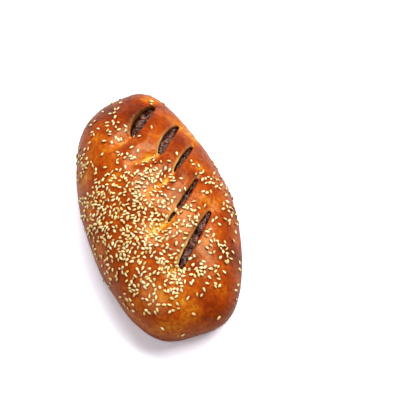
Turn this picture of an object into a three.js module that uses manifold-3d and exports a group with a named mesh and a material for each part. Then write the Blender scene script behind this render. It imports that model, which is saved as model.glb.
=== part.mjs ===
// An oval filled bun, baked in one piece. It is a plump dough loaf with five parallel slanting cuts across
// one half of its crown, and a dark poppy seed and fruit filling that shows at the bottom of the cuts.
// Units are millimetres and +Z is up. The loaf rests on z = 0 with its length along X: the fuller end is
// at +X, and the cuts are on the +Y half.
import * as THREE from "three";
import { mergeVertices } from "three/addons/utils/BufferGeometryUtils.js";
import Module from "manifold-3d";

// Driving dimensions of the loaf.
const loafLength = 186;
const loafWidth = 99;
const loafHeight = 57;
const widestHeight = 0.35 * loafHeight; // where the side wall stands furthest out
const footShare = 0.82; // the flat foot's size as a share of the widest outline
const outlineSquareness = 2.2; // superellipse power of the outline, 2 is a plain ellipse
const crownFullness = 2.1; // power of the crown's profile, 2 is a plain ellipse
const taper = -0.012; // how much narrower the +X end is than the middle, before the outline's waves

// Slow waves of the hand-shaped outline, as shares of its radius.
const outlineWaves = { skewed: -0.006, threeLobed: -0.018, slanted: -0.011, fiveLobed: 0.012, sixLobed: -0.015 };

// The cuts are nearly parallel. Each opening is a pointed slot about its middle point, which bows to one
// side, and the dough beyond its lower end keeps a shallow furrow, whose points lead away from the opening.
const cutDepth = 9; // below the crust
const cuts = [
  { middle: [-59.2, 8.8], angle: 138.6, length: 32, width: 7.6, bow: 0.9, furrow: [[-43.6, -9], [-41, -15]] },
  { middle: [-39.2, 21], angle: 140.5, length: 32, width: 5.4, bow: 0.5, furrow: [[-25, 4], [-23, -9], [-26, -14]] },
  { middle: [-22.5, 26], angle: 138.5, length: 30, width: 4, bow: -0.6, furrow: [[-8, 12], [0, -1.5], [4, -9]] },
  { middle: [9.3, 15.9], angle: 133.7, length: 40, width: 3.6, bow: -1.1, furrow: [[24.5, -4], [30, -13]] },
  { middle: [37.6, 14.6], angle: 138, length: 44, width: 5.6, bow: 0, furrow: [[55, -4], [56, -9]] },
];
const furrow = { depth: 2.6, halfWidth: 4.2 };

// The filling lies as one long pad under the cuts.
const filling = { middle: [-7, 12.5], halfLength: 76, halfWidth: 29, midHeight: 24, under: 9 };
const edgeFullness = 0.4; // power that keeps the filling thick towards its edge, 1 is an ellipse
const crustOverFilling = 5.5;
const clearance = 0.3; // between the filling and the dough around it

// Mesh fineness.
const turns = 84; // segments around the loaf
const crownRings = 26;
const wallRings = 5;
const footRings = 2;
const fillingTurns = 44;
const fillingRings = 9; // from the filling's edge to its top, and again to its underside
const cutSteps = 10; // along each side of a cut

const halfLength = loafLength / 2;
const halfWidth = loafWidth / 2;

// Distance from the loaf's axis to its widest outline in a direction, with both half sizes taken as 1.
function outlineRadius(angle) {
  const round =
    (Math.abs(Math.cos(angle)) ** outlineSquareness + Math.abs(Math.sin(angle)) ** outlineSquareness) **
    (-1 / outlineSquareness);
  return (
    round *
    (1 +
      outlineWaves.skewed * Math.sin(2 * angle) +
      outlineWaves.threeLobed * Math.cos(3 * angle) +
      outlineWaves.slanted * Math.sin(4 * angle) +
      outlineWaves.fiveLobed * Math.sin(5 * angle) +
      outlineWaves.sixLobed * Math.cos(6 * angle))
  );
}

// Where a share of the outline's radius in a direction lies in plan.
function planPoint(share, angle) {
  const along = outlineRadius(angle) * share * Math.cos(angle);
  const across = outlineRadius(angle) * share * Math.sin(angle);
  return [halfLength * along, halfWidth * across * (1 + taper * along)];
}

// The reverse of planPoint: 0 on the loaf's axis and 1 at its widest outline.
function outlineShare(x, y) {
  const along = x / halfLength;
  const across = y / (halfWidth * (1 + taper * along));
  return Math.hypot(along, across) / outlineRadius(Math.atan2(across, along));
}

function smoothStep(t) {
  const clamped = THREE.MathUtils.clamp(t, 0, 1);
  return clamped * clamped * (3 - 2 * clamped);
}

// The two ends of a cut's opening in plan: the lower one on the crown, then the one nearer the rim.
function openingEnds({ middle, angle, length }) {
  const turn = THREE.MathUtils.degToRad(angle);
  const reach = [(Math.cos(turn) * length) / 2, (Math.sin(turn) * length) / 2];
  return [
    [middle[0] - reach[0], middle[1] - reach[1]],
    [middle[0] + reach[0], middle[1] + reach[1]],
  ];
}

// Each cut's whole line in plan: along the opening, then down its furrow.
const cutLines = cuts.map((cut) => {
  const [lower, upper] = openingEnds(cut);
  return [upper, lower, ...cut.furrow];
});

// How far a point in plan is from a line of points, and how far along the line the nearest place is.
function nearestOnLine(x, y, line) {
  let best = { distance: Infinity, along: 0 };
  for (let i = 0; i + 1 < line.length; i++) {
    const [ax, ay] = line[i];
    const [bx, by] = line[i + 1];
    const run = Math.hypot(bx - ax, by - ay);
    const t = THREE.MathUtils.clamp(((x - ax) * (bx - ax) + (y - ay) * (by - ay)) / (run * run), 0, 1);
    const distance = Math.hypot(x - ax - t * (bx - ax), y - ay - t * (by - ay));
    if (distance < best.distance) best = { distance, along: (i + t) / (line.length - 1) };
  }
  return best;
}

// The dough sinks along every cut and furrow, and fades out at the furrow's far end.
function furrowDepth(x, y) {
  let deepest = 0;
  for (const line of cutLines) {
    const { distance, along } = nearestOnLine(x, y, line);
    const fade = 1 - smoothStep((along - 0.55) / 0.45);
    deepest = Math.max(deepest, furrow.depth * fade * Math.exp(-((distance / furrow.halfWidth) ** 2)));
  }
  return deepest;
}

function crownHeight(x, y) {
  const share = Math.min(outlineShare(x, y), 1);
  const smooth = widestHeight + (loafHeight - widestHeight) * Math.sqrt(1 - share ** crownFullness);
  return smooth - furrowDepth(x, y) * smoothStep((1 - share) / 0.25);
}

// The loaf's profile from the middle of its foot to the top of its crown: share of the outline, height.
function loafProfile() {
  const points = [];
  for (let i = 0; i < footRings; i++) points.push([(footShare * i) / footRings, 0]);
  for (let i = 0; i < wallRings; i++) {
    const turn = ((i / wallRings) * Math.PI) / 2;
    points.push([footShare + (1 - footShare) * Math.sin(turn), widestHeight * (1 - Math.cos(turn))]);
  }
  for (let i = 0; i <= crownRings; i++) {
    const turn = ((i / crownRings) * Math.PI) / 2;
    const share = Math.cos(turn);
    const rise = i === crownRings ? 1 : Math.sqrt(1 - share ** crownFullness);
    points.push([i === crownRings ? 0 : share, widestHeight + (loafHeight - widestHeight) * rise]);
  }
  return points.map(([share, height]) => new THREE.Vector2(share, height));
}

// Turns a profile about the upright axis, then moves every point to where place puts it.
function turned(profile, segments, place) {
  const geometry = new THREE.LatheGeometry(profile, segments).rotateX(Math.PI / 2);
  const position = geometry.getAttribute("position");
  for (let i = 0; i < position.count; i++) {
    const share = Math.hypot(position.getX(i), position.getY(i));
    const angle = Math.atan2(position.getY(i), position.getX(i));
    position.setXYZ(i, ...place(share, angle, position.getZ(i)));
  }
  return geometry;
}

function loafGeometry() {
  return turned(loafProfile(), turns, (share, angle, height) => {
    const [x, y] = planPoint(share, angle);
    return [x, y, height > widestHeight ? crownHeight(x, y) : height];
  });
}

// The filling's pad, grown on every side by a margin: its top follows the crust above it.
function fillingGeometry(margin) {
  const profile = [];
  for (let i = -fillingRings; i <= fillingRings; i++) {
    const turn = (i / fillingRings) * (Math.PI / 2);
    const atPole = Math.abs(i) === fillingRings;
    profile.push(new THREE.Vector2(atPole ? 0 : Math.cos(turn), Math.sin(turn)));
  }
  return turned(profile, fillingTurns, (share, angle, side) => {
    const x = filling.middle[0] + (filling.halfLength + margin) * share * Math.cos(angle);
    const y = filling.middle[1] + (filling.halfWidth + margin) * share * Math.sin(angle);
    const fullness = Math.sign(side) * Math.abs(side) ** edgeFullness;
    const roof = crownHeight(x, y) - crustOverFilling - filling.midHeight + margin;
    return [x, y, filling.midHeight + fullness * (side > 0 ? roof : filling.under + margin)];
  });
}

// A pointed slot that follows the crust, from just above it down to the cut's depth.
function cutGeometry(cut) {
  const side = (k, sign) => {
    const t = -1 + (2 * k) / cutSteps;
    return new THREE.Vector2((t * cut.length) / 2, (1 - t * t) * ((sign * cut.width) / 2 + cut.bow));
  };
  const outline = [];
  for (let k = 0; k < cutSteps; k++) outline.push(side(k, -1));
  for (let k = cutSteps; k > 0; k--) outline.push(side(k, 1));
  const geometry = new THREE.ExtrudeGeometry(new THREE.Shape(outline), { depth: 1, bevelEnabled: false });
  geometry.rotateZ(THREE.MathUtils.degToRad(cut.angle)).translate(cut.middle[0], cut.middle[1], 0);
  const position = geometry.getAttribute("position");
  for (let i = 0; i < position.count; i++) {
    const crust = crownHeight(position.getX(i), position.getY(i));
    position.setZ(i, crust + THREE.MathUtils.lerp(-cutDepth, cutDepth, position.getZ(i)));
  }
  return geometry;
}

const wasm = await Module();
wasm.setup();

// A closed geometry as a manifold-3d solid. Faces that a pole has closed up are left out.
function toSolid(geometry) {
  geometry.deleteAttribute("normal");
  geometry.deleteAttribute("uv");
  const merged = mergeVertices(geometry, 1e-3);
  const corners = merged.index.array;
  const faces = [];
  for (let i = 0; i < corners.length; i += 3) {
    const [a, b, c] = corners.slice(i, i + 3);
    if (a !== b && b !== c && c !== a) faces.push(a, b, c);
  }
  return new wasm.Manifold(
    new wasm.Mesh({
      numProp: 3,
      vertProperties: merged.getAttribute("position").array,
      triVerts: new Uint32Array(faces),
    }),
  );
}

function toMesh(name, solid, material) {
  const { vertProperties, triVerts } = solid.getMesh();
  const geometry = new THREE.BufferGeometry();
  geometry.setAttribute("position", new THREE.BufferAttribute(vertProperties, 3));
  geometry.setIndex(new THREE.BufferAttribute(triVerts, 1));
  geometry.computeVertexNormals();
  const mesh = new THREE.Mesh(geometry, material);
  mesh.name = name;
  return mesh;
}

// The dough is the loaf less the room for its filling and less the cuts that open that room.
let dough = toSolid(loafGeometry()).subtract(toSolid(fillingGeometry(clearance)));
for (const cut of cuts) dough = dough.subtract(toSolid(cutGeometry(cut)));

// The outline's waves leave the loaf a little off its axis, so both pieces move until its foot is centred.
const { min, max } = dough.boundingBox();
const centring = [-(min[0] + max[0]) / 2, -(min[1] + max[1]) / 2, 0];

const crust = new THREE.MeshStandardMaterial({ color: 0xb4561f, roughness: 0.35, metalness: 0 });
const darkFilling = new THREE.MeshStandardMaterial({ color: 0x3b2118, roughness: 0.45, metalness: 0 });

const bun = new THREE.Group();
bun.add(toMesh("dough_loaf", dough.translate(centring), crust));
bun.add(toMesh("filling", toSolid(fillingGeometry(0)).translate(centring), darkFilling));

export default bun;
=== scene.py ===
import math
import random

import bmesh
import bpy
import numpy as np
from mathutils import Matrix, Vector, noise
from mathutils.bvhtree import BVHTree
from mathutils.kdtree import KDTree


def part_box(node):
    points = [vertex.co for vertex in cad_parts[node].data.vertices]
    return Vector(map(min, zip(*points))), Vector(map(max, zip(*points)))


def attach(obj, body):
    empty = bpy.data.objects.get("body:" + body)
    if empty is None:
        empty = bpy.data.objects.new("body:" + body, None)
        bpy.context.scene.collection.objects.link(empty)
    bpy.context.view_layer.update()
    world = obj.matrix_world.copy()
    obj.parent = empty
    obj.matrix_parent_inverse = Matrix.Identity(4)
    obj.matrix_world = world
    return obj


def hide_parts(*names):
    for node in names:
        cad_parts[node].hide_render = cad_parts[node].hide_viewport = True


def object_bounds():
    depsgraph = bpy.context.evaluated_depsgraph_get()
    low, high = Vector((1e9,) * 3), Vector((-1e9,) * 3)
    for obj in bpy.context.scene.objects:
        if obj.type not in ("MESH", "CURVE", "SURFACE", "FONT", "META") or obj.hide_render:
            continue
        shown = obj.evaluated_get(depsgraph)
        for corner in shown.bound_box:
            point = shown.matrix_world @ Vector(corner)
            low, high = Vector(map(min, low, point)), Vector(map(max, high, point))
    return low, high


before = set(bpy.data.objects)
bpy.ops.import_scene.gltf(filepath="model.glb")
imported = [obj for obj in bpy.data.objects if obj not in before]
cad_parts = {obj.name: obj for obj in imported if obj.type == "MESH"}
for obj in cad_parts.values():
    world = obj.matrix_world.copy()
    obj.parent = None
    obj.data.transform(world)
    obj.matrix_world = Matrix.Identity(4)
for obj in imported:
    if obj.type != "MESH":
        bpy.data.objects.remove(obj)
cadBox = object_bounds()
print("frame loaded")

# The pieces are shaped in millimetres about the loaf's own upright axis, and moved into the frame
# at the end. The fuller end of the loaf is at +X and its cuts are on the +Y half.
mm = 0.001

loaf = {
    "length": 186,
    "width": 99,
    "height": 57,
    "widestHeight": 20,  # where the side wall stands furthest out
    "footShare": 0.82,  # the foot's size as a share of the widest outline
    "squareness": 2.2,  # 2 is a plain ellipse
    "crownFullness": 2.1,
    "taper": -0.012,
    "skewed": -0.006,
    "threeLobed": -0.018,
    "slanted": -0.011,
    "fiveLobed": 0.012,
    "sixLobed": -0.015,
    "turns": 220,  # faces around
    "wallRings": 22,
    "crownRings": 70,
}

# The cuts, from the narrow end to the full end. The furrow goes on down the crown from the opening.
# pointed shapes the ends, fuller leans the width towards the rim, bow bends the middle line, pinch is
# where the lips meet, fillingBelow is the paste's depth, and gold and lips say how pale the furrow,
# the lower lip and the upper lip stayed.
cuts = [
    {
        "middle": (-59.2, 8.8), "angle": 138.6, "length": 33.5, "width": 9.0,
        "pointed": 1.0, "fuller": 0.05, "bow": 1.1, "pinch": None,
        "furrow": ((-43.6, -9), (-41, -15), (-40, -22)),
        "fillingBelow": 7.2, "gold": 0.45, "lips": (0.25, 0.0),
    },
    {
        "middle": (-39.2, 21), "angle": 140.5, "length": 33, "width": 6.0,
        "pointed": 0.9, "fuller": 0.0, "bow": 0.8, "pinch": None,
        "furrow": ((-25, 4), (-23.5, -4), (-23, -9), (-26, -15)),
        "fillingBelow": 5.8, "gold": 1.0, "lips": (0.8, 0.1),
    },
    {
        "middle": (-22.2, 25.7), "angle": 138.5, "length": 31.5, "width": 4.2,
        "pointed": 1.25, "fuller": -0.1, "bow": -0.6, "pinch": None,
        "furrow": ((-8, 12), (-3, 5.4), (0.4, -1.5), (3, -7), (5, -13)),
        "fillingBelow": 5.8, "gold": 1.2, "lips": (1.0, 0.1),
    },
    {
        "middle": (9.3, 15.9), "angle": 133.7, "length": 41.5, "width": 3.3,
        "pointed": 0.5, "fuller": 0.03, "bow": -1.1, "pinch": -0.55,
        "furrow": ((24.5, -4), (27, -9), (31, -14), (35, -20)),
        "fillingBelow": 6.2, "gold": 1.0, "lips": (0.9, 0.1),
    },
    {
        "middle": (37.8, 15.0), "angle": 137, "length": 46, "width": 5.6,
        "pointed": 0.6, "fuller": 0.3, "bow": 0.0, "pinch": None,
        "furrow": ((55, -4), (56, -9), (58, -14)),
        "fillingBelow": 4.9, "gold": 0.95, "lips": (1.2, 0.15),
    },
]
furrowShape = {
    "crease": 2.6,  # a sharp fold at the bottom of each furrow
    "creaseWidth": 1.5,
    "depth": 1.2,
    "halfWidth": 4.2,
    "ribDepth": 2.3,  # the wide dip that leaves a puffed rib between two cuts
    "ribHalfWidth": 8.5,
    "lipRise": 0.6,
    "lipWidth": 1.4,
    "pinchWidth": 0.07,  # as a share of the half length
    "fold": (0.85, 0.2),  # along the line, where 1 is the opening's lower end and 2 the furrow's end
    "fade": (1.3, 0.7),
    "rimShare": 0.25,  # the furrows run out over this share of the outline
}


def smoothStep(t):
    t = np.clip(t, 0, 1)
    return t * t * (3 - 2 * t)


def rising(value, span):  # a span is where the change starts and how far it runs
    return smoothStep((value - span[0]) / span[1])


def falling(value, span):
    return 1 - rising(value, span)


def outlineRadius(angle):
    power = loaf["squareness"]
    plain = (np.abs(np.cos(angle)) ** power + np.abs(np.sin(angle)) ** power) ** (-1 / power)
    waves = loaf["skewed"] * np.sin(2 * angle) + loaf["threeLobed"] * np.cos(3 * angle)
    waves += loaf["slanted"] * np.sin(4 * angle) + loaf["fiveLobed"] * np.sin(5 * angle)
    return plain * (1 + waves + loaf["sixLobed"] * np.cos(6 * angle))


def planPoint(share, angle):
    along = outlineRadius(angle) * share * np.cos(angle)
    across = outlineRadius(angle) * share * np.sin(angle)
    return loaf["length"] / 2 * along, loaf["width"] / 2 * across * (1 + loaf["taper"] * along)


def outlineShare(x, y):  # 0 on the axis and 1 at the widest outline
    along = x / (loaf["length"] / 2)
    across = y / (loaf["width"] / 2 * (1 + loaf["taper"] * along))
    return np.hypot(along, across) / outlineRadius(np.arctan2(across, along))


def cutDirection(cut):
    return math.cos(math.radians(cut["angle"])), math.sin(math.radians(cut["angle"]))


def cutFrame(cut, x, y):  # place along the opening from -1 to 1, and sideways from its bowed middle line
    towardsRim, sideways = cutDirection(cut)
    right = x - cut["middle"][0]
    forward = y - cut["middle"][1]
    along = (right * towardsRim + forward * sideways) / (cut["length"] / 2)
    across = forward * towardsRim - right * sideways
    return along, across - cut["bow"] * np.clip(1 - along**2, 0, 1)


def openingHalfWidth(cut, along):
    width = cut["width"] / 2 * np.clip(1 - along**2, 0, 1) ** (cut["pointed"] / 2)
    width = width * (1 - cut["fuller"] * along)
    if cut["pinch"] is not None:
        width = width * (1 - np.exp(-(((along - cut["pinch"]) / furrowShape["pinchWidth"]) ** 2)))
    return width


def edgeDistance(cut, x, y):  # from the opening's edge, below 0 inside it
    along, across = cutFrame(cut, x, y)
    beside = np.abs(across) - openingHalfWidth(cut, along)
    beyond = np.clip(np.abs(along) - 1, 0, None) * cut["length"] / 2
    return np.where((beside < 0) & (beyond == 0), beside, np.hypot(beyond, np.clip(beside, 0, None)))


def cutLine(cut):
    reach = np.array(cutDirection(cut)) * cut["length"] / 2
    return [np.array(cut["middle"]) + reach, np.array(cut["middle"]) - reach, *map(np.array, cut["furrow"])]


# Distance in plan, and how far along the line: 0 to 1 is the opening and 1 to 2 its furrow.
def nearestOnLine(line, x, y):
    distance = np.full(np.shape(x), np.inf)
    along = np.zeros(np.shape(x))
    for i, (start, end) in enumerate(zip(line, line[1:])):
        run = end - start
        t = np.clip(((x - start[0]) * run[0] + (y - start[1]) * run[1]) / (run @ run), 0, 1)
        here = np.hypot(x - start[0] - t * run[0], y - start[1] - t * run[1])
        nearer = here < distance
        along = np.where(nearer, t if i == 0 else 1 + (i - 1 + t) / (len(line) - 2), along)
        distance = np.where(nearer, here, distance)
    return distance, along


def furrowDip(x, y):
    crease = np.zeros(np.shape(x))
    narrow = np.zeros(np.shape(x))
    wide = np.zeros(np.shape(x))
    lip = np.zeros(np.shape(x))
    for cut in cuts:
        distance, along = nearestOnLine(cutLine(cut), x, y)
        fade = falling(along, furrowShape["fade"])
        folded = rising(along, furrowShape["fold"]) * fade
        crease = np.maximum(crease, folded * np.exp(-distance / furrowShape["creaseWidth"]))
        narrow = np.maximum(narrow, fade * np.exp(-((distance / furrowShape["halfWidth"]) ** 2)))
        wide = np.maximum(wide, fade * np.exp(-((distance / furrowShape["ribHalfWidth"]) ** 2)))
        fromLip = (edgeDistance(cut, x, y) - furrowShape["lipWidth"]) / furrowShape["lipWidth"]
        lip = np.maximum(lip, np.exp(-(fromLip**2)))
    dip = furrowShape["crease"] * crease + furrowShape["depth"] * narrow + furrowShape["ribDepth"] * wide
    return dip - furrowShape["lipRise"] * lip


def domeHeight(x, y):  # the crown before its cuts and furrows
    share = np.minimum(outlineShare(x, y), 1)
    rise = loaf["height"] - loaf["widestHeight"]
    return loaf["widestHeight"] + rise * np.sqrt(1 - share ** loaf["crownFullness"])


def crownHeight(x, y):
    inwards = smoothStep((1 - outlineShare(x, y)) / furrowShape["rimShare"])
    return domeHeight(x, y) - furrowDip(x, y) * inwards


def places(mesh):
    flat = np.empty(len(mesh.vertices) * 3)
    mesh.vertices.foreach_get("co", flat)
    return flat.reshape(-1, 3)


def setPlaces(mesh, spots):
    mesh.vertices.foreach_set("co", np.ravel(spots))
    mesh.update()


def outwards(mesh):
    flat = np.empty(len(mesh.vertices) * 3)
    mesh.vertex_normals.foreach_get("vector", flat)
    return flat.reshape(-1, 3)


def newObject(name, bm):
    bmesh.ops.recalc_face_normals(bm, faces=bm.faces)
    mesh = bpy.data.meshes.new(name)
    bm.to_mesh(mesh)
    bm.free()
    made = bpy.data.objects.new(name, mesh)
    bpy.context.scene.collection.objects.link(made)
    return made


def addModifier(target, kind, **settings):
    modifier = target.modifiers.new(kind.title(), kind)
    for key, value in settings.items():
        setattr(modifier, key, value)


def applyModifiers(target):
    graph = bpy.context.evaluated_depsgraph_get()
    mesh = bpy.data.meshes.new_from_object(target.evaluated_get(graph))
    target.modifiers.clear()
    target.data = mesh


def makeLoaf():
    bm = bmesh.new()
    profile = [(0, 0)]
    for i in range(loaf["wallRings"]):
        turn = i / loaf["wallRings"] * math.pi / 2
        share = loaf["footShare"] + (1 - loaf["footShare"]) * math.sin(turn)
        profile.append((share, loaf["widestHeight"] * (1 - math.cos(turn))))
    for i in range(loaf["crownRings"] + 1):
        profile.append((math.cos(i / loaf["crownRings"] * math.pi / 2), loaf["widestHeight"] + i))
    corners = [bm.verts.new((share, 0, height)) for share, height in profile]
    for first, second in zip(corners, corners[1:]):
        bm.edges.new((first, second))
    line = bm.verts[:] + bm.edges[:]
    bmesh.ops.spin(bm, geom=line, axis=(0, 0, 1), angle=math.tau, steps=loaf["turns"], use_merge=True)
    bmesh.ops.remove_doubles(bm, verts=bm.verts, dist=1e-5)
    made = newObject("loafForm", bm)
    spots = places(made.data)
    share = np.hypot(spots[:, 0], spots[:, 1])
    x, y = planPoint(share, np.arctan2(spots[:, 1], spots[:, 0]))
    onCrown = spots[:, 2] > loaf["widestHeight"]
    setPlaces(made.data, np.column_stack((x, y, np.where(onCrown, crownHeight(x, y), spots[:, 2]))))
    return made


cutTool = {
    "segments": 56,
    # above the sunken crust, and the width's share there
    "levels": ((7, 1.15), (1.5, 1.06), (-0.5, 0.98), (-3, 0.94), (-6, 0.9), (-11, 0.8)),
    "sunken": 1.5,
    "thinnest": 0.01,
    "wobble": 0.55,  # how far the torn edge wanders
    "wobbleSize": 4.5,
    "wobbleStep": 9,  # keeps the five edges from wandering alike
}


def makeCutTool():
    bm = bmesh.new()
    for number, cut in enumerate(cuts):
        ring = bmesh.ops.create_circle(bm, cap_ends=True, segments=cutTool["segments"], radius=1)
        made = list(ring["verts"])
        face = made[0].link_faces[0]
        for level in range(1, len(cutTool["levels"])):
            grown = bmesh.ops.extrude_face_region(bm, geom=[face])["geom"]
            if level > 1:  # the first face stays as the tool's end, and the others would be walls inside it
                bmesh.ops.delete(bm, geom=[face], context="FACES_ONLY")
            fresh = [part for part in grown if isinstance(part, bmesh.types.BMVert)]
            face = next(part for part in grown if isinstance(part, bmesh.types.BMFace))
            bmesh.ops.translate(bm, verts=fresh, vec=(0, 0, 1))
            made += fresh
        for vert in made:
            above, share = cutTool["levels"][round(vert.co.z)]
            along = vert.co.x
            run = along * cut["length"] / cutTool["wobbleSize"]
            wander = noise.noise(Vector((run, number * cutTool["wobbleStep"], vert.co.y)))
            across = openingHalfWidth(cut, along) * share + cutTool["wobble"] * wander * (1 - along**2)
            onSide = abs(vert.co.y) > 1e-6  # the two end points stay on the middle line
            across = math.copysign(max(across, cutTool["thinnest"]), vert.co.y) * onSide
            across += cut["bow"] * (1 - along**2)
            towardsRim, sideways = cutDirection(cut)
            x = cut["middle"][0] + along * cut["length"] / 2 * towardsRim - across * sideways
            y = cut["middle"][1] + along * cut["length"] / 2 * sideways + across * towardsRim
            vert.co = (x, y, float(domeHeight(x, y)) - cutTool["sunken"] + above)
    return newObject("cutTool", bm)


filling = {
    "middle": (-7, 12.5),
    "halfLength": 76,
    "halfWidth": 29,
    "midHeight": 24,
    "under": 9,
    "edgeFullness": 0.4,
    "crustOver": 5.5,
    "room": 0.35,  # the dough keeps this far off it
    "swellReach": 0.4,  # how far past an opening's edge it starts to swell
    "swellRun": 1.8,
    "voxel": 0.75,
    "smoothing": 3,
    "shownReach": 0.5,  # the lumps are shaped this far past the openings
    "shownRun": 2.5,
    "lumpSize": 3.1,
    "lumpHeight": 1.4,
    "lumpGap": 1.1,  # how the lumps stand out of the gaps between them
    "lumpRound": 1.6,
    "gritShare": 0.7,
    "gritSize": 1.6,
}


def makeFillingForm(name, margin):
    bm = bmesh.new()
    bmesh.ops.create_uvsphere(bm, u_segments=180, v_segments=110, radius=1)
    made = newObject(name, bm)
    spots = places(made.data)
    x = filling["middle"][0] + (filling["halfLength"] + margin) * spots[:, 0]
    y = filling["middle"][1] + (filling["halfWidth"] + margin) * spots[:, 1]
    side = np.sign(spots[:, 2]) * np.abs(spots[:, 2]) ** filling["edgeFullness"]
    roof = crownHeight(x, y) - filling["crustOver"] - filling["midHeight"] + margin
    z = filling["midHeight"] + side * np.where(side > 0, roof, filling["under"] + margin)
    for cut in cuts:  # the filling swells up into the openings
        beyond = edgeDistance(cut, x, y) + filling["swellReach"] - margin
        swell = (1 - smoothStep(beyond / filling["swellRun"])) * (side > 0)
        z += swell * (domeHeight(x, y) - cut["fillingBelow"] + margin - z)
    setPlaces(made.data, np.column_stack((x, y, z)))
    return made


crumbLook = {
    "voxel": 0.95,
    "smoothing": 2,
    "slowRise": 0.8,
    "slowSize": 24,
    "dimpleRise": 0.18,
    "dimpleSize": 8,
    "pleatRise": 0.1,
    "pleatSize": 2.6,
    "flatUnder": 8,  # the foot stays flat, and the uneven skin grows up to this height
}

# Places where the crust stayed golden or baked darker, with painted light and painted shade among them:
# middle in plan, size, strength.
# Some golden places are painted light: the small strong one above the fourth cut is a painted highlight on
# a tip of dough, and the wide weak one at (66, 10) lightens the lower full end.
goldenAndLitPlaces = [
    ((-77, 20), 7, 0.8), ((-60, 24), 7, 0.75), ((-55, 33), 7, 0.85), ((-46, 37), 7, 0.9),
    ((-37, 40), 6, 0.8), ((0, -4), 6, 0.5), ((-6, 3), 5, 0.4), ((20, 4), 5, 0.5),
    ((19, 34), 5, 0.85), ((14, 40), 5, 0.6), ((27, -9), 6, 0.45), ((54, -5), 8, 0.45),
    ((76, 0), 11, 0.4), ((-25, -1), 6, 0.45), ((62, -14), 9, 0.25), ((40, -22), 12, 0.2),
    ((-11, 33), 2.6, 1.2), ((6, -11), 4, 0.5), ((66, 10), 12, 0.3), ((-56, -14), 8, 0.15),
]
# The dark places at the narrow end and along the outer wall at the full end are painted shade; those on the
# crown darken it in small patches.
darkAndShadedPlaces = [
    ((70, 27), 7, 0.25), ((82, 14), 9, 0.22), ((-76, -8), 13, 0.22), ((50, 38), 10, 0.18),
    ((-66, 2), 9, 0.14), ((-30, 8), 7, 0.12), ((-12, 14), 6, 0.16), ((-42, 4), 8, 0.12),
    ((-30, 24), 7, 0.08),
]

# Where the oven's heat and the egg wash reached, and where painted shade and painted light go into the
# browning.
baking = {
    "crumbEdge": (0.9, 0.8),  # the torn crumb, by the distance from the opening's edge
    "crumbDepth": (0.5, 0.9),  # and by the depth under the crust
    "lowerLip": 0.5,
    "lipEnd": (0.25, 0.7),  # the lips are paler at the end towards the middle of the loaf
    "lipEndShare": 0.25,
    "lipWidth": 0.8,
    "furrowStart": (0.8, 0.3),
    "furrowEnd": (1.6, 0.4),
    "furrowWidth": 2.3,
    "furrowGold": 1.1,
    "sideHeight": (4, 34),
    "seededSide": (14, 44),  # across the loaf, from the cuts towards the seeded half
    "outerSide": (28, 18),  # across the loaf, beyond the cuts
    "outerHeight": (18, 22),
    "narrowEnd": (-20, 50),
    "footHeight": (0.4, 2.2),
    "bareHeight": (5, 20),  # the wash ran thin below
    "bareOuter": 0.8,
    "browningAndShade": 0.5,  # the browning everywhere, and what is added to it or taken off it, with painted shade and painted light among the additions
    # darker towards the foot of the wall
    "lowWallDarker": 0.13,
    # painted shade on the outer side wall beyond the cuts
    "outerWallShade": 0.14,
    # painted shade at the narrow end
    "narrowEndShade": 0.13,
    # painted light on the seeded half
    "seededSideLight": 0.1,
    "goldPale": 0.42,
    "mostGold": 1.2,
}


def addMask(mesh, name, values):
    layer = mesh.attributes.new(name, "FLOAT", "POINT")
    layer.data.foreach_set("value", np.asarray(values, dtype=np.float32))


def blobs(spots, where):
    total = np.zeros(len(spots))
    for (x, y), size, strength in where:
        total += strength * np.exp(-((spots[:, 0] - x) ** 2 + (spots[:, 1] - y) ** 2) / size**2)
    return total


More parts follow.
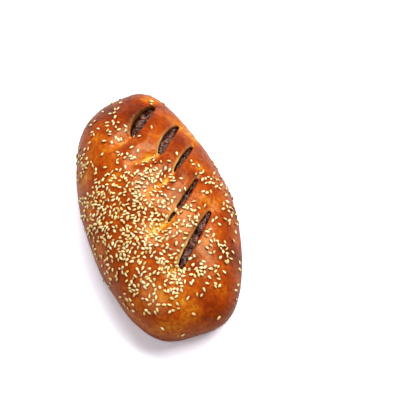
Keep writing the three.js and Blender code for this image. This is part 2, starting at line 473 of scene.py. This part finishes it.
def paintDough(mesh):
    spots = places(mesh)
    x, y, z = spots.T
    below = crownHeight(x, y) - z
    crumb = np.zeros(len(spots))
    rim = np.zeros(len(spots))
    gold = np.zeros(len(spots))
    for cut in cuts:
        edge = edgeDistance(cut, x, y)
        nearEdge = smoothStep((baking["crumbEdge"][0] - edge) / baking["crumbEdge"][1])
        crumb = np.maximum(crumb, nearEdge * rising(below, baking["crumbDepth"]))
        towardsRim, sideways = cutFrame(cut, x, y)
        lowerLip = smoothStep(sideways + baking["lowerLip"])  # the side towards the fuller end
        pale = cut["lips"][1] + (cut["lips"][0] - cut["lips"][1]) * lowerLip
        inner = smoothStep((baking["lipEnd"][0] - towardsRim) / baking["lipEnd"][1])
        pale = pale * (baking["lipEndShare"] + (1 - baking["lipEndShare"]) * inner)
        rim = np.maximum(rim, pale * np.exp(-((np.clip(edge, 0, None) / baking["lipWidth"]) ** 2)))
        distance, along = nearestOnLine(cutLine(cut), x, y)
        fade = rising(along, baking["furrowStart"]) * falling(along, baking["furrowEnd"])
        gold = np.maximum(gold, cut["gold"] * fade * np.exp(-((distance / baking["furrowWidth"]) ** 2)))
    onTop = z > loaf["widestHeight"]
    gold = (gold * baking["furrowGold"] + blobs(spots, goldenAndLitPlaces)) * onTop
    seeded = smoothStep((baking["seededSide"][0] - y) / baking["seededSide"][1]) * onTop
    outer = rising(y, baking["outerSide"]) * falling(z, baking["outerHeight"])
    narrowEnd = smoothStep((baking["narrowEnd"][0] - x) / baking["narrowEnd"][1])
    # Painted shade and painted light go into this value with the browning: darker low on the walls, painted
    # shade on the outer wall and at the narrow end, and painted light on the seeded half.
    browningAndShade = baking["browningAndShade"] + baking["lowWallDarker"] * falling(z, baking["sideHeight"])
    browningAndShade += baking["outerWallShade"] * outer - baking["seededSideLight"] * seeded
    browningAndShade += baking["narrowEndShade"] * narrowEnd + blobs(spots, darkAndShadedPlaces) * onTop
    browningAndShade -= baking["goldPale"] * np.clip(gold, 0, baking["mostGold"])
    addMask(mesh, "browningAndShadeMask", np.clip(browningAndShade, 0, 1))
    addMask(mesh, "crumb", crumb)
    addMask(mesh, "rim", rim * (1 - crumb))
    addMask(mesh, "foot", falling(z, baking["footHeight"]))
    addMask(mesh, "bare", np.maximum(falling(z, baking["bareHeight"]), baking["bareOuter"] * outer))


def shapeDough():
    dough = makeLoaf()
    pocket = makeFillingForm("pocket", filling["room"])
    tool = makeCutTool()
    addModifier(dough, "BOOLEAN", operation="DIFFERENCE", solver="MANIFOLD", object=pocket)
    addModifier(dough, "BOOLEAN", operation="DIFFERENCE", solver="MANIFOLD", object=tool)
    addModifier(dough, "REMESH", mode="VOXEL", voxel_size=crumbLook["voxel"])
    addModifier(dough, "SMOOTH", factor=0.5, iterations=crumbLook["smoothing"])
    applyModifiers(dough)
    for spare in (pocket, tool):
        bpy.data.objects.remove(spare)
    mesh = dough.data
    spots = places(mesh)
    lift = np.zeros(len(spots))
    for i, spot in enumerate(spots):
        here = Vector(spot)
        lift[i] = crumbLook["slowRise"] * noise.noise(here / crumbLook["slowSize"])
        lift[i] += crumbLook["dimpleRise"] * noise.noise(here / crumbLook["dimpleSize"])
        lift[i] += crumbLook["pleatRise"] * noise.noise(here / crumbLook["pleatSize"])
    lift *= smoothStep(spots[:, 2] / crumbLook["flatUnder"])
    paintDough(mesh)
    setPlaces(mesh, spots + outwards(mesh) * lift[:, None])
    return dough


def shapeFilling():
    paste = makeFillingForm("paste", 0)
    addModifier(paste, "REMESH", mode="VOXEL", voxel_size=filling["voxel"])
    addModifier(paste, "SMOOTH", factor=0.5, iterations=filling["smoothing"])
    applyModifiers(paste)
    mesh = paste.data
    spots = places(mesh)
    shown = np.zeros(len(spots))
    for cut in cuts:
        beyond = edgeDistance(cut, spots[:, 0], spots[:, 1]) - filling["shownReach"]
        shown = np.maximum(shown, 1 - smoothStep(beyond / filling["shownRun"]))
    shown *= spots[:, 2] > filling["midHeight"]
    lift = np.zeros(len(spots))
    for i in np.flatnonzero(shown):
        here = Vector(spots[i])
        near = noise.voronoi(here / filling["lumpSize"])[0]
        lump = filling["lumpGap"] * near[1] - filling["lumpRound"] * near[0]
        grit = filling["gritShare"] * noise.noise(here / filling["gritSize"])
        lift[i] = filling["lumpHeight"] * (lump + grit)
    setPlaces(mesh, spots + outwards(mesh) * (lift * shown)[:, None])
    return paste


dough = shapeDough()
print("dough shaped,", len(dough.data.polygons), "faces")
paste = shapeFilling()
print("filling shaped,", len(paste.data.polygons), "faces")

sesame = {
    "count": 800,
    "length": 3.05,
    "width": 1.95,
    "thickness": 1.05,
    "sizeSpread": 0.14,
    "tipTaper": 0.42,
    "tipShape": 1.6,
    "belly": 1.08,
    "sink": 0.12,
    "tilt": 14,
    "clumpShare": 0.05,  # the share of seeds that fell onto others
    "clumpGap": 1.0,
    "clumpLift": (0.2, 0.6),
    "wallSeeds": 34,  # loose ones low on the side wall
    "wallFrom": 8,
    "wallRise": 26,
    "wallCrowding": 0.6,  # below 1, more of them are high up
    "wallGap": 4,
    "wallTries": 4000,
    "closest": 1.35,  # between the middle lines of two seeds
    "gathering": 1.5,  # how unevenly they fell
    "gatherSize": 6.5,
    "gatherPlace": 16,  # another value gathers them in other places
    "mostGathered": 1.5,
    "driftShape": 1.7,  # above 1, the drifts have thinner edges
    # how far the painted shade around each seed reaches
    "seedShadeReach": 1.45,
    "seed": 41,
}
seedSheet = {  # where the seeds are dropped and thrown from
    "along": (-96, 92),
    "across": (-50, 50),
    "above": 120,
    "outside": 130,
    "rimShare": 0.985,
    "cutGap": 1.0,
}
# How thickly the seeds fell: middle in plan, half sizes, share of the thickest.
seedDrifts = [
    ((22, -24), (46, 30), 0.7), ((28, -26), (26, 13), 1.0), ((-5, -42), (18, 13), 1.0),
    ((58, -8), (18, 15), 0.7), ((36, 13), (24, 15), 0.5), ((46, 28), (19, 13), 0.36),
    ((0, 36), (13, 10), 0.3), ((-8, -2), (13, 22), 0.45), ((-44, -37), (16, 8), 0.5),
    ((-57, -18), (14, 14), 0.3), ((-78, -4), (8, 14), 0.17), ((24, 44), (16, 6), 0.35),
    ((-28, -12), (14, 24), 0.18), ((70, -12), (12, 18), 0.4), ((-42, 8), (20, 16), 0.04),
    ((-18, 26), (8, 8), 0.25), ((48, 4), (12, 10), 0.6), ((62, 15), (10, 9), 0.55),
]
# Single seeds beside and in the cuts.
placedSeeds = [
    (-65, 13), (-73.5, 18.5), (51, 5), (31, 17), (32.5, 19), (48, 6.5), (-12, 33), (-6, 29), (18, 8),
]


def seedTemplate():
    bm = bmesh.new()
    bmesh.ops.create_uvsphere(bm, u_segments=8, v_segments=6, radius=0.5)
    bmesh.ops.rotate(bm, verts=bm.verts, matrix=Matrix.Rotation(math.pi / 2, 3, "Y"))
    for vert in bm.verts:
        toTip = vert.co.x + 0.5
        narrow = 1 - sesame["tipTaper"] * toTip ** sesame["tipShape"]
        vert.co.y *= narrow * sesame["belly"]
        vert.co.z *= 1 - sesame["tipTaper"] / 2 * toTip
    size = (sesame["length"], sesame["width"], sesame["thickness"])
    bmesh.ops.scale(bm, verts=bm.verts, vec=size)
    # Darker towards each seed's lower half: painted shade, with some toasting at its rim.
    toastedRimAndShade = bm.verts.layers.float.new("edge")
    for vert in bm.verts:
        vert[toastedRimAndShade] = 1 - max(0.0, 2 * vert.co.z / sesame["thickness"])
    mesh = bpy.data.meshes.new("seedTemplate")
    bm.to_mesh(mesh)
    bm.free()
    return mesh


def seedDepth(x, y):  # 0 where none fell and 1 where they lie thickest
    best = 0
    for (cx, cy), (rx, ry), share in seedDrifts:
        best = max(best, share * math.exp(-(((x - cx) / rx) ** 2) - ((y - cy) / ry) ** 2))
    here = Vector((x, y, sesame["gatherPlace"])) / sesame["gatherSize"]
    gathered = min(1 + sesame["gathering"] * noise.noise(here), sesame["mostGathered"])
    return best ** sesame["driftShape"] * gathered / sesame["mostGathered"]


def scatterSeeds(tree):
    draw = random.Random(sesame["seed"])
    halfLine = (sesame["length"] - sesame["width"]) / 2
    spots = []  # where each seed lies, its ends, how it is turned and its lift

    def layDown(start, direction, gap, lift=0.0):
        place, up, _, _ = tree.ray_cast(start, direction)
        if place is None:
            return
        turn = Matrix.Rotation(draw.uniform(0, math.tau), 4, "Z")
        facing = up.to_track_quat("Z", "Y").to_matrix().to_4x4() @ turn
        reach = facing.col[0].xyz * halfLine
        ends = (place - reach, place, place + reach)
        for other in spots:
            if (place - other[0]).length < sesame["length"]:
                if min((mine - theirs).length for mine in ends for theirs in other[1]) < gap:
                    return
        spots.append((place, ends, facing, lift, up))

    down = Vector((0, 0, -1))
    for x, y in placedSeeds:
        layDown(Vector((x, y, seedSheet["above"])), down, 0)
    while len(spots) < sesame["count"] - sesame["wallSeeds"]:
        x = draw.uniform(*seedSheet["along"])
        y = draw.uniform(*seedSheet["across"])
        if draw.random() > seedDepth(x, y) or float(outlineShare(x, y)) > seedSheet["rimShare"]:
            continue
        if min(float(edgeDistance(cut, x, y)) for cut in cuts) < seedSheet["cutGap"]:
            continue
        start = Vector((x, y, seedSheet["above"]))
        if draw.random() < sesame["clumpShare"]:
            layDown(start, down, sesame["clumpGap"], draw.uniform(*sesame["clumpLift"]))
        else:
            layDown(start, down, sesame["closest"])
    tries = 0
    while len(spots) < sesame["count"] and tries < sesame["wallTries"]:
        tries += 1
        angle = draw.uniform(0, math.tau)
        direction = Vector((math.cos(angle), math.sin(angle), 0))
        height = sesame["wallFrom"] + sesame["wallRise"] * draw.random() ** sesame["wallCrowding"]
        start = direction * seedSheet["outside"] + Vector((0, 0, height))
        layDown(start, -direction, sesame["wallGap"])
    return draw, spots


def paintShadeAroundSeeds(mesh, spots):  # painted shade around each seed, partly the wash pooling against it
    near = KDTree(len(spots))
    for i, spot in enumerate(spots):
        near.insert(spot[0], i)
    near.balance()
    away = [near.find(vert.co)[2] / sesame["seedShadeReach"] for vert in mesh.vertices]
    addMask(mesh, "seedShadeRing", [math.exp(-(share**2)) for share in away])


def makeSeeds(tree, mesh):
    draw, spots = scatterSeeds(tree)
    paintShadeAroundSeeds(mesh, spots)
    template = seedTemplate()
    bm = bmesh.new()
    bm.verts.layers.float.new("edge")
    tone = bm.verts.layers.float.new("tone")
    for place, _, facing, lift, up in spots:
        before = len(bm.verts)
        bm.from_mesh(template)
        bm.verts.ensure_lookup_table()
        fresh = bm.verts[before:]
        lean = Matrix.Rotation(math.radians(draw.gauss(0, sesame["tilt"])), 4, "Y")
        roll = Matrix.Rotation(math.radians(draw.gauss(0, sesame["tilt"])), 4, "X")
        size = Matrix.Diagonal((*(1 + draw.uniform(-1, 1) * sesame["sizeSpread"] for _ in range(3)), 1))
        rest = place + up * (sesame["thickness"] / 2 - sesame["sink"] + lift)
        turned = Matrix.Translation(rest) @ facing @ lean @ roll @ size
        bmesh.ops.transform(bm, matrix=turned, verts=fresh)
        shade = draw.random()
        for vert in fresh:
            vert[tone] = shade
    bpy.data.meshes.remove(template)
    return newObject("seeds", bm)


treeSource = bmesh.new()
treeSource.from_mesh(dough.data)
seeds = makeSeeds(BVHTree.FromBMesh(treeSource), dough.data)
treeSource.free()
print("sesame scattered,", len(seeds.data.polygons), "faces")


def addNode(tree, kind, settings=None, **inputs):
    made = tree.nodes.new(kind)
    for key, value in (settings or {}).items():
        setattr(made, key, value)
    for key, value in inputs.items():
        feed(tree, made.inputs[key.replace("_", " ")], value)
    return made


def feed(tree, socket, value):
    if isinstance(value, bpy.types.NodeSocket):
        tree.links.new(value, socket)
    else:
        socket.default_value = value


def mathOf(tree, operation, first, second=0.0, third=0.0):
    made = addNode(tree, "ShaderNodeMath", {"operation": operation})
    for socket, value in zip(made.inputs, (first, second, third)):
        feed(tree, socket, value)
    return made.outputs[0]


def mixColour(tree, factor, first, second):
    made = addNode(tree, "ShaderNodeMix", {"data_type": "RGBA"})
    feed(tree, made.inputs[0], factor)
    feed(tree, made.inputs[6], first)
    feed(tree, made.inputs[7], second)
    return made.outputs[2]


def rampOf(tree, factor, stops):
    made = addNode(tree, "ShaderNodeValToRGB", Fac=factor)
    marks = made.color_ramp.elements
    while len(marks) < len(stops):
        marks.new(0.5)
    for mark, (place, colour) in zip(marks, stops):
        mark.position = place
        mark.color = (*colour, 1)
    return made.outputs["Color"]


def mask(tree, name):
    return addNode(tree, "ShaderNodeAttribute", {"attribute_name": name}).outputs["Fac"]


def newGroup(name, inputs, outputs):
    tree = bpy.data.node_groups.new(name, "ShaderNodeTree")
    for label, kind, value in inputs:
        socket = tree.interface.new_socket(name=label, in_out="INPUT", socket_type=kind)
        if value is not None:
            socket.default_value = value
    for label, kind in outputs:
        tree.interface.new_socket(name=label, in_out="OUTPUT", socket_type=kind)
    return tree, tree.nodes.new("NodeGroupInput").outputs, tree.nodes.new("NodeGroupOutput").inputs


def useGroup(tree, group, **inputs):
    made = addNode(tree, "ShaderNodeGroup", {"node_tree": group})
    for key, value in inputs.items():
        feed(tree, made.inputs[key], value)
    return made.outputs


grainFacts = {
    "finerPatches": 6.3,  # how much smaller the patches inside the patches are
    "poreScale": 0.45,
    "poreSharpness": 3.4,
}


def makePatches():  # soft patches with finer ones inside them, 0 to 1
    tree, given, result = newGroup(
        "patches",
        [
            ("Vector", "NodeSocketVector", None),
            ("Scale", "NodeSocketFloat", 50),
            ("Fine", "NodeSocketFloat", 0.4),
        ],
        [("Value", "NodeSocketFloat")],
    )
    broad = addNode(tree, "ShaderNodeTexNoise", Vector=given["Vector"], Scale=given["Scale"], Detail=3.0)
    closer = mathOf(tree, "MULTIPLY", given["Scale"], grainFacts["finerPatches"])
    narrow = addNode(tree, "ShaderNodeTexNoise", Vector=given["Vector"], Scale=closer, Detail=4.0)
    away = mathOf(tree, "SUBTRACT", narrow.outputs["Fac"], 0.5)
    both = mathOf(tree, "MULTIPLY_ADD", away, given["Fine"], broad.outputs["Fac"])
    feed(tree, result["Value"], both)
    return tree


def makeGrain():  # fine raised grain with small pores, as a height
    tree, given, result = newGroup(
        "grain",
        [
            ("Vector", "NodeSocketVector", None),
            ("Scale", "NodeSocketFloat", 900),
            ("Pores", "NodeSocketFloat", 0.5),
        ],
        [("Height", "NodeSocketFloat"), ("Pore", "NodeSocketFloat")],
    )
    fine = addNode(tree, "ShaderNodeTexNoise", Vector=given["Vector"], Scale=given["Scale"], Detail=3.0)
    coarser = mathOf(tree, "MULTIPLY", given["Scale"], grainFacts["poreScale"])
    cells = addNode(tree, "ShaderNodeTexVoronoi", Vector=given["Vector"], Scale=coarser)
    pit = mathOf(tree, "MULTIPLY", cells.outputs["Distance"], grainFacts["poreSharpness"])
    pit = mathOf(tree, "SUBTRACT", 1.0, pit)
    pit = addNode(tree, "ShaderNodeClamp", Value=pit).outputs[0]
    sunk = mathOf(tree, "MULTIPLY", pit, given["Pores"])
    feed(tree, result["Height"], mathOf(tree, "SUBTRACT", fine.outputs["Fac"], sunk))
    feed(tree, result["Pore"], pit)
    return tree


patches = makePatches()
grain = makeGrain()


def newMaterial(name):
    made = bpy.data.materials.new(name)
    made.use_nodes = True
    tree = made.node_tree
    tree.nodes.clear()
    shader = tree.nodes.new("ShaderNodeBsdfPrincipled")
    output = tree.nodes.new("ShaderNodeOutputMaterial")
    tree.links.new(shader.outputs[0], output.inputs["Surface"])
    spot = tree.nodes.new("ShaderNodeTexCoord").outputs["Object"]
    return made, tree, shader, spot


def bumpOf(tree, height, distance, strength=1.0, normal=None):
    made = addNode(tree, "ShaderNodeBump", Height=height, Distance=distance, Strength=strength)
    if normal is not None:
        feed(tree, made.inputs["Normal"], normal)
    return made.outputs[0]


crustFinish = {
    "browns": [
        (0.0, (0.69, 0.4, 0.06)),
        (0.2, (0.57, 0.18, 0.011)),
        (0.42, (0.43, 0.08, 0.004)),
        (0.66, (0.29, 0.04, 0.003)),
        (1.0, (0.12, 0.015, 0.003)),
    ],
    "crumb": (0.36, 0.15, 0.04),
    "crumbDeep": (0.13, 0.05, 0.015),
    "rim": (0.85, 0.6, 0.22),
    "rimShown": 0.9,
    "foot": (0.3, 0.12, 0.04),
    "seedShadeDarker": 0.42,
    "patchScale": 62.0,
    "patchFine": 0.6,
    "patchShift": 1.15,  # how far the patches move the browning
    "patchBump": (0.0012, 0.35),  # depth and strength
    "grainScale": 700.0,
    "pores": 0.35,
    "poreDarker": 0.1,
    "grainBump": (0.00025, 0.55),
    "roughness": 0.25,
    "dullRoughness": 0.4,  # more on the crumb and the foot
    "bareRoughness": 0.28,  # more where the wash didn't reach
    "patchRoughness": 0.25,
    "specular": 0.54,
    "specularTint": (1.0, 0.88, 0.5),
    "coat": 0.02,
    "coatRoughness": 0.18,
}


def makeCrust():
    made, tree, shader, spot = newMaterial("eggWashedCrust")
    look = crustFinish
    patch = useGroup(tree, patches, Vector=spot, Scale=look["patchScale"], Fine=look["patchFine"])["Value"]
    fine = useGroup(tree, grain, Vector=spot, Scale=look["grainScale"], Pores=look["pores"])
    away = mathOf(tree, "SUBTRACT", patch, 0.5)
    shift = mathOf(tree, "MULTIPLY", away, look["patchShift"])
    # The mask carries painted shade and painted light as well as the browning.
    browningAndShadeMask = mathOf(tree, "ADD", mask(tree, "browningAndShadeMask"), shift)
    browningAndShadeMask = mathOf(tree, "MULTIPLY_ADD", fine["Pore"], look["poreDarker"], browningAndShadeMask)
    # painted shade around each seed, partly the wash pooling against it
    browningAndShadeMask = mathOf(tree, "MULTIPLY_ADD", mask(tree, "seedShadeRing"), look["seedShadeDarker"], browningAndShadeMask)
    colour = rampOf(tree, browningAndShadeMask, look["browns"])
    rim = mathOf(tree, "MULTIPLY", mask(tree, "rim"), look["rimShown"])
    colour = mixColour(tree, rim, colour, (*look["rim"], 1))
    inner = mixColour(tree, patch, (*look["crumb"], 1), (*look["crumbDeep"], 1))
    colour = mixColour(tree, mask(tree, "crumb"), colour, inner)
    colour = mixColour(tree, mask(tree, "foot"), colour, (*look["foot"], 1))
    feed(tree, shader.inputs["Base Color"], colour)
    dull = mathOf(tree, "MAXIMUM", mask(tree, "crumb"), mask(tree, "foot"))
    rough = mathOf(tree, "MULTIPLY_ADD", dull, look["dullRoughness"], look["roughness"])
    rough = mathOf(tree, "MULTIPLY_ADD", mask(tree, "bare"), look["bareRoughness"], rough)
    rough = mathOf(tree, "MULTIPLY_ADD", away, look["patchRoughness"], rough)
    feed(tree, shader.inputs["Roughness"], rough)
    coat = mathOf(tree, "MULTIPLY", mathOf(tree, "SUBTRACT", 1.0, dull), look["coat"])
    feed(tree, shader.inputs["Coat Weight"], coat)
    shader.inputs["Coat Roughness"].default_value = look["coatRoughness"]
    shader.inputs["Specular IOR Level"].default_value = look["specular"]
    shader.inputs["Specular Tint"].default_value = (*look["specularTint"], 1)
    normal = bumpOf(tree, patch, *look["patchBump"])
    feed(tree, shader.inputs["Normal"], bumpOf(tree, fine["Height"], *look["grainBump"], normal))
    return made


fillingFinish = {
    "tones": [(0.3, (0.014, 0.004, 0.003)), (0.5, (0.07, 0.018, 0.009)), (0.7, (0.23, 0.08, 0.045))],
    "patchScale": 260.0,
    "patchFine": 0.7,
    "grainScale": 1100.0,
    "pores": 0.6,
    "poreLighter": 0.12,
    "grainBump": (0.0004, 0.6),
    "roughness": 0.15,
    "patchRoughness": 0.3,
}


def makeFilling():
    made, tree, shader, spot = newMaterial("poppySeedFilling")
    look = fillingFinish
    patch = useGroup(tree, patches, Vector=spot, Scale=look["patchScale"], Fine=look["patchFine"])["Value"]
    fine = useGroup(tree, grain, Vector=spot, Scale=look["grainScale"], Pores=look["pores"])
    tone = mathOf(tree, "MULTIPLY_ADD", fine["Pore"], look["poreLighter"], patch)
    rough = mathOf(tree, "MULTIPLY_ADD", patch, look["patchRoughness"], look["roughness"])
    feed(tree, shader.inputs["Base Color"], rampOf(tree, tone, look["tones"]))
    feed(tree, shader.inputs["Roughness"], rough)
    feed(tree, shader.inputs["Normal"], bumpOf(tree, fine["Height"], *look["grainBump"]))
    return made


sesameFinish = {
    "tones": [(0.0, (1.0, 0.94, 0.6)), (0.6, (1.0, 0.86, 0.44)), (1.0, (0.9, 0.62, 0.22))],
    # the colour on each seed's lower half, painted shade with some toasting at its rim
    "edge": (0.36, 0.16, 0.03),
    "rimAndShadeShown": 0.68,
    "patchScale": 420.0,
    "patchFine": 0.4,
    "patchTone": 0.5,
    "grainScale": 1500.0,
    "pores": 0.1,
    "grainBump": (0.0001, 0.5),
    "roughness": 0.35,
    "patchRoughness": 0.15,
}


def makeSesame():
    made, tree, shader, spot = newMaterial("toastedSesame")
    look = sesameFinish
    patch = useGroup(tree, patches, Vector=spot, Scale=look["patchScale"], Fine=look["patchFine"])["Value"]
    fine = useGroup(tree, grain, Vector=spot, Scale=look["grainScale"], Pores=look["pores"])
    away = mathOf(tree, "SUBTRACT", patch, 0.5)
    tone = mathOf(tree, "MULTIPLY_ADD", away, look["patchTone"], mask(tree, "tone"))
    # painted shade on each seed's lower half, with some toasting at its rim
    edge = mathOf(tree, "MULTIPLY", mask(tree, "edge"), look["rimAndShadeShown"])
    colour = mixColour(tree, edge, rampOf(tree, tone, look["tones"]), (*look["edge"], 1))
    rough = mathOf(tree, "MULTIPLY_ADD", patch, look["patchRoughness"], look["roughness"])
    feed(tree, shader.inputs["Base Color"], colour)
    feed(tree, shader.inputs["Roughness"], rough)
    feed(tree, shader.inputs["Normal"], bumpOf(tree, fine["Height"], *look["grainBump"]))
    return made


low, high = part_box("dough_loaf")
outlineX, outlineY = planPoint(1, np.linspace(0, math.tau, 3600))
centre = Vector(((low.x + high.x) / 2, (low.y + high.y) / 2, low.z))
centre -= Vector((outlineX.max() + outlineX.min(), outlineY.max() + outlineY.min(), 0)) / 2 * mm
toFrame = Matrix.Translation(centre) @ Matrix.Scale(mm, 4)


def finishPiece(piece, name, material, node=None):
    piece.name = name
    piece.data.name = name
    piece.data.transform(toFrame)
    piece.data.materials.clear()
    piece.data.materials.append(material)
    piece.data.polygons.foreach_set("use_smooth", [True] * len(piece.data.polygons))
    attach(piece, "root")
    if node:
        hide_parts(node)


finishPiece(dough, "baked_dough", makeCrust(), "dough_loaf")
finishPiece(paste, "poppy_filling", makeFilling(), "filling")
finishPiece(seeds, "sesame_seeds", makeSesame())
print("finishes given")

studio = {
    "floorSize": 6.0,
    "floorColour": (1.44, 1.47, 1.63),  # overexposed, so that only the closest shadow shows
    "floorBounce": (0.5, 0.49, 0.5),  # what it gives back to the loaf
    "world": (0.98, 0.99, 1.0),
    "worldStrength": 0.15,
    "floorGap": 0.2 * mm,
    "azimuth": 72,  # where the camera stands
    "elevation": 61,
    "distance": 0.8,
    "lens": 108.3,
    "sensor": 36,
    "aside": 28.6 * mm,  # how far the loaf is from the middle of the view
    "above": 5.5 * mm,
}
lamps = [  # name, azimuth, elevation, distance, size, power, colour
    ("keySoftbox", 258, 58, 1.15, 0.7, 7.7, (1.0, 0.97, 0.93)),
    ("topSoftbox", 188, 57, 1.15, 0.8, 10.0, (1.0, 0.97, 0.93)),
    ("frontFill", 35, 42, 1.15, 0.9, 4.0, (1.0, 0.97, 0.93)),
]


def fromAngles(azimuth, elevation):
    flat = math.cos(math.radians(elevation))
    turn = math.radians(azimuth)
    return Vector((math.sin(turn) * flat, -math.cos(turn) * flat, math.sin(math.radians(elevation))))


def makeFloor():
    bm = bmesh.new()
    bmesh.ops.create_grid(bm, x_segments=1, y_segments=1, size=studio["floorSize"] / 2)
    bmesh.ops.translate(bm, verts=bm.verts, vec=(0, 0, cadBox[0][2] - studio["floorGap"]))
    floor = newObject("floor", bm)
    made = bpy.data.materials.new("paleFloor")
    made.use_nodes = True
    tree = made.node_tree
    tree.nodes.clear()
    seen = tree.nodes.new("ShaderNodeLightPath").outputs["Is Camera Ray"]
    colour = mixColour(tree, seen, (*studio["floorBounce"], 1), (*studio["floorColour"], 1))
    shader = addNode(tree, "ShaderNodeBsdfDiffuse", Color=colour)
    output = tree.nodes.new("ShaderNodeOutputMaterial")
    tree.links.new(shader.outputs[0], output.inputs["Surface"])
    floor.data.materials.append(made)


def makeLamp(name, azimuth, elevation, distance, size, power, colour):
    lamp = bpy.data.lights.new(name, "AREA")
    lamp.shape = "SQUARE"
    lamp.size = size
    lamp.energy = power
    lamp.color = colour
    made = bpy.data.objects.new(name, lamp)
    bpy.context.scene.collection.objects.link(made)
    made.location = fromAngles(azimuth, elevation) * distance
    made.rotation_euler = (math.radians(90 - elevation), 0, math.radians(azimuth))


def makeCamera():
    made = bpy.data.objects.new("camera", bpy.data.cameras.new("camera"))
    bpy.context.scene.collection.objects.link(made)
    made.data.lens = studio["lens"]
    made.data.sensor_width = studio["sensor"]
    made.rotation_euler = (math.radians(90 - studio["elevation"]), 0, math.radians(studio["azimuth"]))
    middle = toFrame @ Vector((0, 0, loaf["height"] / 2))
    back = fromAngles(studio["azimuth"], studio["elevation"]) * studio["distance"]
    shifted = made.rotation_euler.to_matrix() @ Vector((studio["aside"], studio["above"], 0))
    made.location = middle + back + shifted
    bpy.context.scene.camera = made


makeFloor()
for lampFacts in lamps:
    makeLamp(*lampFacts)
makeCamera()
world = bpy.data.worlds.new("studioWorld")
world.use_nodes = True
world.node_tree.nodes["Background"].inputs["Color"].default_value = (*studio["world"], 1)
world.node_tree.nodes["Background"].inputs["Strength"].default_value = studio["worldStrength"]
bpy.context.scene.world = world
bpy.context.scene.view_settings.view_transform = "Standard"
bpy.context.scene.view_settings.look = "Medium High Contrast"
print("studio set")
